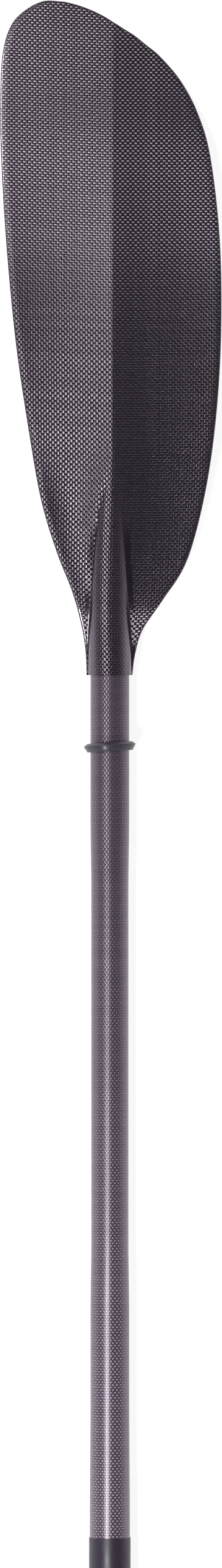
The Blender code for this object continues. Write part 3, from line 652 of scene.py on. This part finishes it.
# ---------------------------------------------------------------- shaft tubes
# A tube of the same woven carbon for each half, rolled round a mandrel and lacquered. It swells a
# little at the joint and is oval where the hands hold it. The left one has the button's holes.
SHAFT_RADIUS = 0.0147
SHAFT_BORE_RADIUS = 0.0132
TUBE_IN_SOCKET = 0.065        # how far the tube goes into the blade
TUBE_OUTER_END = SOCKET_END + TUBE_IN_SOCKET
GRIP_HALF_WIDTH = 0.01412
GRIP_HALF_DEPTH = 0.0154
GRIP_INNER_END = 0.263
GRIP_LENGTH = 0.266
GRIP_BLEND = 0.055
SWELL_RADIUS = 0.0152
SWELL_START = 0.050
SWELL_BLEND = 0.100
PARTING = -0.065
GASKET_THICKNESS = 0.0015
CLEARANCE = 0.0003            # between two pieces
RIGHT_TUBE_END = PARTING - GASKET_THICKNESS - 2 * CLEARANCE
TUBE_ROW = 0.009              # longest distance between two rings of its mesh
TUBE_STEPS = 116
SHAFT_BUNDLES = 58            # bundles of fibre that lie side by side round the shaft
SHAFT_BUNDLE_LENGTH = 0.001975
BUTTON_FROM_PARTING = 0.015
BUTTON_PLACE = PARTING + BUTTON_FROM_PARTING
HOLE_RADIUS = 0.0035
HOLE_STEPS = 40
FEATHER_ANGLES = (-60, 0, 60)


def shaft_radii(along):
    """Half width and half depth of the shaft at a distance from the paddle's middle."""
    along = abs(along)
    grip = smoothstep((along - GRIP_INNER_END + GRIP_BLEND) / GRIP_BLEND)
    grip *= 1 - smoothstep((along - GRIP_INNER_END - GRIP_LENGTH) / GRIP_BLEND)
    swell = 1 - smoothstep((along - SWELL_START) / SWELL_BLEND)
    base = SHAFT_RADIUS + (SWELL_RADIUS - SHAFT_RADIUS) * swell
    return (base + (GRIP_HALF_WIDTH - SHAFT_RADIUS) * grip,
            base + (GRIP_HALF_DEPTH - SHAFT_RADIUS) * grip)


def turned(outline, steps=96):
    """A closed outline of (radius, place along) points, spun about the shaft's axis."""
    shape = bmesh.new()
    corners = [shape.verts.new((radius, along, AXIS_HEIGHT)) for radius, along in outline]
    sides = [shape.edges.new(pair) for pair in zip(corners, corners[1:] + corners[:1])]
    bmesh.ops.spin(shape, geom=corners + sides, cent=(0.0, 0.0, AXIS_HEIGHT), axis=(0.0, 1.0, 0.0),
                   dvec=(0.0, 0.0, 0.0), angle=2 * math.pi, steps=steps, use_merge=True)
    bmesh.ops.recalc_face_normals(shape, faces=shape.faces)
    return shape


def drilled(shape, angles):
    """The shape with holes for the snap button through its wall, at angles about the shaft."""
    rods = bmesh.new()
    for angle in angles:
        rod = bmesh.ops.create_cone(rods, cap_ends=True, segments=HOLE_STEPS, radius1=HOLE_RADIUS,
                                    radius2=HOLE_RADIUS, depth=SHAFT_RADIUS)["verts"]
        place = (Matrix.Translation((0.0, BUTTON_PLACE, AXIS_HEIGHT))
                 @ Matrix.Rotation(math.radians(angle), 4, "Y")
                 @ Matrix.Translation((0.0, 0.0, SHAFT_RADIUS)))
        bmesh.ops.transform(rods, matrix=place, verts=rod)
    solids = []
    for name, form in (("wall", shape), ("drill", rods)):
        mesh = bpy.data.meshes.new(name)
        form.to_mesh(mesh)
        form.free()
        solids.append(bpy.data.objects.new(name, mesh))
        scene.collection.objects.link(solids[-1])
    cut = solids[0].modifiers.new("holes", "BOOLEAN")
    cut.solver = "EXACT"
    cut.object = solids[1]
    done = solids[0].evaluated_get(bpy.context.evaluated_depsgraph_get())
    holed = bmesh.new()
    holed.from_mesh(done.to_mesh())
    for solid in solids:
        bpy.data.objects.remove(solid)
    return holed


def map_round(shape, name, place):
    """Gives a turned shape a UV map, which place makes of a turn and a distance along the shaft."""
    layer = shape.loops.layers.uv.new(name)
    for face in shape.faces:
        middle = face.calc_center_median()
        heading = math.atan2(middle.x, middle.z - AXIS_HEIGHT)
        for loop in face.loops:
            spot = loop.vert.co
            turn = math.atan2(spot.x, spot.z - AXIS_HEIGHT)
            turn += 2 * math.pi * round((heading - turn) / (2 * math.pi))
            loop[layer].uv = place(turn, spot.y)


def shaft_tube(end, start):
    """One half's tube, from its inner end into the blade; end is 1 on the left half, else -1."""
    rows = math.ceil((TUBE_OUTER_END - start) / TUBE_ROW)
    places = [start + (TUBE_OUTER_END - start) * k / rows for k in range(rows + 1)]
    outline = [(SHAFT_RADIUS, end * place) for place in places]
    outline += [(SHAFT_BORE_RADIUS, end * places[-1]), (SHAFT_BORE_RADIUS, end * start)]
    shape = turned(outline, TUBE_STEPS)
    map_round(shape, "weave", lambda turn, along: (SHAFT_BUNDLES * turn / (2 * math.pi) + 0.5,
                                                   along / SHAFT_BUNDLE_LENGTH))
    for vert in shape.verts:
        if math.hypot(vert.co.x, vert.co.z - AXIS_HEIGHT) > (SHAFT_RADIUS + SHAFT_BORE_RADIUS) / 2:
            half_width, half_depth = shaft_radii(vert.co.y)
            vert.co.x *= half_width / SHAFT_RADIUS
            vert.co.z = AXIS_HEIGHT + (vert.co.z - AXIS_HEIGHT) * half_depth / SHAFT_RADIUS
    return shape


shaft_carbon = carbon_cloth("lacquered_carbon_cloth_shaft", "#776b79", crown=0.13,
                            dives=(0.03, 0.03), roughness=0.46, coat_roughness=0.33, metallic=0.75)
finish_piece("left_shaft", drilled(shaft_tube(1, PARTING), FEATHER_ANGLES), shaft_carbon,
             "left_half", ("left_shaft_tube",))
finish_piece("right_shaft", shaft_tube(-1, -RIGHT_TUBE_END), shaft_carbon, "right_half",
             ("right_shaft_tube",))

# A plug of black foam keeps water out of the blade's end of each tube.
dress(("left_shaft_end_plug", "right_shaft_end_plug"),
      solid_colour("cut_polyethylene_foam", "#1c1c1e", roughness=0.85, grain=FOAM_CELL,
                   relief=0.0002))


# ---------------------------------------------------------------- drip rings
# A moulded rubber cup grips the shaft below each blade and throws off the water that runs down.
# Its lip is sharp and leans out towards the blade; it was pushed on a little askew.
RING_FROM_SOCKET = 0.054
RING_PLACE = SOCKET_END - RING_FROM_SOCKET
RING_HALF_HEIGHT = 0.00335
RING_LIP_RADIUS = 0.01975
RING_LIP_PLACE = 0.00125      # from the ring's middle towards the blade
RING_TOP_RADIUS = 0.0169
RING_FOOT_RADIUS = 0.0172
RING_BORE = 0.0150
RING_GRIP = 0.001             # half the length of bore that holds the shaft
RING_FLARE = 0.0004           # and how much wider it is at its ends
RING_TILT = 3.6               # degrees
RING_EDGE = 0.0003
BEVEL_STEPS = 3


def rounded(shape, width, sharper_than=25):
    """Rounds a shape's edges that turn by more than an angle."""
    edges = [edge for edge in shape.edges if edge.calc_face_angle(0.0) > math.radians(sharper_than)]
    bmesh.ops.bevel(shape, geom=edges, offset=width, segments=BEVEL_STEPS, profile=0.5,
                    affect="EDGES", material=-1)
    return shape


ring_rubber = solid_colour("moulded_epdm_rubber", "#39343f", roughness=0.30, grain=0.0004,
                           relief=0.0000008)
for side, end in (("left", 1), ("right", -1)):
    outline = [(RING_BORE + RING_FLARE, RING_HALF_HEIGHT), (RING_TOP_RADIUS, RING_HALF_HEIGHT),
               (RING_LIP_RADIUS, RING_LIP_PLACE), (RING_FOOT_RADIUS, -RING_HALF_HEIGHT),
               (RING_BORE + RING_FLARE, -RING_HALF_HEIGHT), (RING_BORE, -RING_GRIP),
               (RING_BORE, RING_GRIP)]
    ring = rounded(turned([(radius, end * along) for radius, along in outline]), RING_EDGE)
    askew = (Matrix.Translation((0.0, end * RING_PLACE, 0.0))
             @ Matrix.Rotation(end * math.radians(RING_TILT), 4, "Z"))
    bmesh.ops.transform(ring, matrix=askew, verts=ring.verts)
    finish_piece(side + "_ring", ring, ring_rubber, side + "_ring", (side + "_drip_ring",))


# ---------------------------------------------------------------- ferrule
# The left tube ends in a glass-fibre sleeve and a plastic collar, with a bare film label above.
# The right one ends in a glass-fibre spigot, a rubber gasket and a film with the feather marks.
SLEEVE_RADIUS = 0.0129
SLEEVE_BORE = 0.0116
SLEEVE_LENGTH = 0.120
SLEEVE_EDGE = 0.0002
SPIGOT_RADIUS = 0.0113
SPIGOT_BORE = 0.0099
SPIGOT_REACH = 0.115
SPIGOT_CHAMFER = 0.0007
ROOT_LENGTH = 0.085
BAND_INNER = 0.0154
BAND_WALL = 0.0003
BAND_EDGE = 0.0001
COLLAR_RADIUS = 0.0162
COLLAR_LENGTH = 0.030
COLLAR_EDGE = 0.00025
LABEL_FROM_COLLAR = 0.005
LABEL_LENGTH = 0.070
GASKET_RADIUS = 0.0158
GASKET_EDGE = 0.0003
MARKS_FROM_END = 0.006
MARKS_LENGTH = 0.016
WINDING_SLANT = 12            # degrees off the shaft's axis
STREAK = 0.08                 # a streak's width for each length of it
STREAK_SHADES = (0.75, 1.35)
STREAK_ROUGHNESS = (0.24, 0.46)
STREAK_RELIEF = 0.00001
GLASS_IOR = 1.53


def band(outer, inner, high, low, edge):
    """A plain round sleeve about the shaft with rounded rims."""
    return rounded(turned([(outer, high), (outer, low), (inner, low), (inner, high)]), edge)


def wound_glass(name, colour, pitch):
    """Glass fibre in tinted resin, wound at a slant and ground smooth: faint slanting streaks."""
    material, tree, shader = new_material(name)
    place = add(tree, "TexCoord")
    turned_in = add(tree, "Mapping", {"Vector": place.outputs["Object"],
                                      "Rotation": (0.0, 0.0, math.radians(WINDING_SLANT)),
                                      "Scale": (1 / pitch, STREAK / pitch, 1 / pitch)})
    fibre = add(tree, "TexNoise", {"Vector": turned_in, "Scale": 1.0, "Detail": 2.0})
    shade = add(tree, "MapRange", {"Value": fibre.outputs[0],
                                   "From Min": NOISE_SPAN[0], "From Max": NOISE_SPAN[1],
                                   "To Min": STREAK_SHADES[0], "To Max": STREAK_SHADES[1]})
    tone = add(tree, "VectorMath", {0: srgb(colour)[:3], "Scale": shade}, operation="SCALE")
    worn = add(tree, "MapRange", {"Value": fibre.outputs[0], "To Min": STREAK_ROUGHNESS[0],
                                  "To Max": STREAK_ROUGHNESS[1]})
    bump = add(tree, "Bump", {"Height": fibre.outputs[0], "Strength": 1.0,
                              "Distance": STREAK_RELIEF})
    tree.links.new(tone.outputs[0], shader.inputs["Base Color"])
    tree.links.new(worn.outputs[0], shader.inputs["Roughness"])
    tree.links.new(bump.outputs[0], shader.inputs["Normal"])
    shader.inputs["IOR"].default_value = GLASS_IOR
    return material


glass = wound_glass("wound_glass_fibre", "#232323", pitch=0.0004)
sleeve = band(SLEEVE_RADIUS, SLEEVE_BORE, PARTING + SLEEVE_LENGTH, PARTING, SLEEVE_EDGE)
finish_piece("sleeve", drilled(sleeve, FEATHER_ANGLES), glass, "left_half",
             ("female_ferrule_sleeve",))
spigot_end = PARTING + SPIGOT_REACH
root_end = RIGHT_TUBE_END - ROOT_LENGTH
spigot = turned([(SPIGOT_RADIUS - SPIGOT_CHAMFER, spigot_end),
                 (SPIGOT_RADIUS, spigot_end - SPIGOT_CHAMFER), (SPIGOT_RADIUS, RIGHT_TUBE_END),
                 (SLEEVE_RADIUS, RIGHT_TUBE_END), (SLEEVE_RADIUS, root_end),
                 (SPIGOT_BORE, root_end), (SPIGOT_BORE, spigot_end)])
finish_piece("spigot", drilled(spigot, (0,)), glass, "right_half", ("male_ferrule_spigot",))

# Black nylon, moulded: satin, with a faint spark-eroded grain
collar_nylon = solid_colour("moulded_nylon", "#262627", roughness=0.38, grain=0.0003,
                            relief=0.000008)
collar = turned([(COLLAR_RADIUS, PARTING + COLLAR_LENGTH), (COLLAR_RADIUS, PARTING),
                 (BAND_INNER, PARTING), (BAND_INNER, PARTING + COLLAR_LENGTH)])
collar = rounded(drilled(collar, FEATHER_ANGLES), COLLAR_EDGE, sharper_than=50)
finish_piece("collar", collar, collar_nylon, "left_half", ("ferrule_collar",))

# Dark vinyl film, printed all over and laminated: smooth and satin, with no words
label_film = solid_colour("laminated_vinyl_film", "#302935", roughness=0.38, grain=0.0006,
                          relief=0.000001)
label_foot = PARTING + COLLAR_LENGTH + LABEL_FROM_COLLAR
label = band(BAND_INNER + BAND_WALL, BAND_INNER, label_foot + LABEL_LENGTH, label_foot, BAND_EDGE)
finish_piece("label", label, label_film, "left_half", ("shaft_label",))

# Soft black nitrile: matt, a little dusty
gasket_rubber = solid_colour("moulded_nitrile_rubber", "#1b1b1c", roughness=0.62, grain=0.0003,
                             relief=0.000008)
gasket = band(GASKET_RADIUS, SPIGOT_RADIUS + CLEARANCE, PARTING - CLEARANCE,
              PARTING - CLEARANCE - GASKET_THICKNESS, GASKET_EDGE)
finish_piece("gasket", gasket, gasket_rubber, "gasket", ("ferrule_gasket",))
dress(("sleeve_plug", "spigot_plug"), gasket_rubber)

# Pale film round the right tube, with plain strokes for the feather angle and no figures
MARK_STEP = 15                # degrees between two strokes
MARK_WIDTH = 0.0005
MARK_LONG = 0.75              # share of the film's length that every fourth stroke covers
MARK_SHORT = 0.40
LONG_EVERY = 4
FILM_ROUGHNESS = 0.33


def marked_film(name, colour, ink):
    """Satin film with strokes along the shaft, from a map whose units are a turn and its length."""
    material, tree, shader = new_material(name)
    part = add(tree, "SeparateXYZ", {0: add(tree, "UVMap", uv_map="print")})
    step = add(tree, "Math", {0: part.outputs["X"], 1: 360 / MARK_STEP}, operation="MULTIPLY")
    whole = add(tree, "Math", {0: step}, operation="ROUND")
    off = add(tree, "Math", {0: step, 1: whole}, operation="SUBTRACT")
    off = add(tree, "Math", {0: off}, operation="ABSOLUTE")
    half_mark = MARK_WIDTH / 2 / (2 * math.pi * (BAND_INNER + BAND_WALL) * MARK_STEP / 360)
    near = add(tree, "Math", {0: off, 1: half_mark}, operation="LESS_THAN")
    fourth = add(tree, "Math", {0: whole, 1: LONG_EVERY}, operation="FLOORED_MODULO")
    long = add(tree, "Math", {0: fourth, 1: 0.5}, operation="LESS_THAN")
    reach = add(tree, "MapRange", {"Value": long, "To Min": MARK_SHORT, "To Max": MARK_LONG})
    inside = add(tree, "Math", {0: part.outputs["Y"], 1: reach}, operation="LESS_THAN")
    mark = add(tree, "Math", {0: near, 1: inside}, operation="MULTIPLY")
    tone = add(tree, "Mix", {"Factor": mark, "A": srgb(colour), "B": srgb(ink)}, data_type="RGBA")
    tree.links.new(tone.outputs["Result"], shader.inputs["Base Color"])
    shader.inputs["Roughness"].default_value = FILM_ROUGHNESS
    return material


marks_top = RIGHT_TUBE_END - MARKS_FROM_END
marks = band(BAND_INNER + BAND_WALL, BAND_INNER, marks_top, marks_top - MARKS_LENGTH, BAND_EDGE)
map_round(marks, "print", lambda turn, along: (turn / (2 * math.pi),
                                               (marks_top - along) / MARKS_LENGTH))
finish_piece("feather_marks", marks, marked_film("printed_vinyl_film", "#cfcfd2", "#1c1c1e"),
             "right_half", ("feather_scale_ring",))


# ---------------------------------------------------------------- snap button
# A turned steel button riveted to a V of spring strip inside the spigot. On the real paddle,
# pressed in, its leaf bends towards the other one, and the button leaves its hole, so that the
# halves come apart or turn; here the strip is one fixed shape, open as at rest.
BUTTON_RADIUS = 0.0032
BUTTON_TOP = 0.0172
BUTTON_EDGE = 0.0011
BUTTON_STEPS = 48
RIVET_RADIUS = 0.0018
RIVET_LENGTH = 0.0012
RIVET_EDGE = 0.0005
DOME_STEPS = 5
SPRING_THICKNESS = 0.0006
SPRING_WIDTH = 0.0060
SPRING_LENGTH = 0.040
SPRING_TAIL = 0.003           # strip past the button, at its open end
SPRING_EDGE = 0.0001
SPRING_BEND = 0.0022          # radius of the strip's bend,
BEND_REACH = 75               # and degrees that it turns to either side
BEND_STEPS = 10

# the strip's middle line, seen from the side: one leaf, the bend, the other leaf
leaf = math.sqrt((SPIGOT_BORE - CLEARANCE - SPRING_THICKNESS / 2)**2 - (SPRING_WIDTH / 2)**2)
leaf -= SPRING_THICKNESS / 2
tail = BUTTON_PLACE - BUTTON_RADIUS - SPRING_TAIL
bend = tail + SPRING_LENGTH - SPRING_BEND
line = [(tail, leaf), (tail + 2 * (BUTTON_RADIUS + SPRING_TAIL), leaf)]
line += [(bend + SPRING_BEND * math.cos(turn), SPRING_BEND * math.sin(turn))
         for turn in (math.radians(BEND_REACH - 2 * BEND_REACH * k / BEND_STEPS)
                      for k in range(BEND_STEPS + 1))]
line.append((tail, -leaf))
spring = bmesh.new()
knots = [spring.verts.new((-SPRING_WIDTH / 2, along, AXIS_HEIGHT + height))
         for along, height in line]
strip = [spring.edges.new(pair) for pair in zip(knots, knots[1:])]
grown = bmesh.ops.extrude_edge_only(spring, edges=strip)["geom"]
bmesh.ops.translate(spring, vec=(SPRING_WIDTH, 0.0, 0.0),
                    verts=[item for item in grown if isinstance(item, bmesh.types.BMVert)])
bmesh.ops.recalc_face_normals(spring, faces=spring.faces)
for face in spring.faces:
    if face.calc_center_median().z > AXIS_HEIGHT + leaf - MERGE and face.normal.z < 0:
        bmesh.ops.reverse_faces(spring, faces=spring.faces)
        break
bmesh.ops.solidify(spring, geom=spring.faces[:], thickness=SPRING_THICKNESS)
rounded(spring, SPRING_EDGE, sharper_than=60)

# the button, turned, with a domed edge and a rivet's tail under the leaf
for radius, low, high, outer, edge in (
        (BUTTON_RADIUS, leaf, BUTTON_TOP, BUTTON_TOP, BUTTON_EDGE),
        (RIVET_RADIUS, leaf - RIVET_LENGTH, leaf, leaf - RIVET_LENGTH, RIVET_EDGE)):
    stud = bmesh.ops.create_cone(spring, cap_ends=True, segments=BUTTON_STEPS, radius1=radius,
                                 radius2=radius, depth=high - low)["verts"]
    middle = AXIS_HEIGHT + (low + high) / 2
    bmesh.ops.translate(spring, vec=(0.0, BUTTON_PLACE, middle), verts=stud)
    rim = [border for border in spring.edges
           if all(vert in stud and abs(vert.co.z - AXIS_HEIGHT - outer) < MERGE
                  for vert in border.verts)]
    bmesh.ops.bevel(spring, geom=rim, offset=edge, segments=DOME_STEPS, profile=0.5,
                    affect="EDGES", material=-1)

# Stainless spring steel, rolled and tumbled: bright, with a soft even blur
steel = solid_colour("tumbled_stainless_steel", "#c4c3c0", roughness=0.27, grain=0.0003,
                     relief=0.000002, metallic=1.0)
snap = finish_piece("snap_button_and_spring", spring, steel, None, ("snap_button",))
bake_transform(snap)
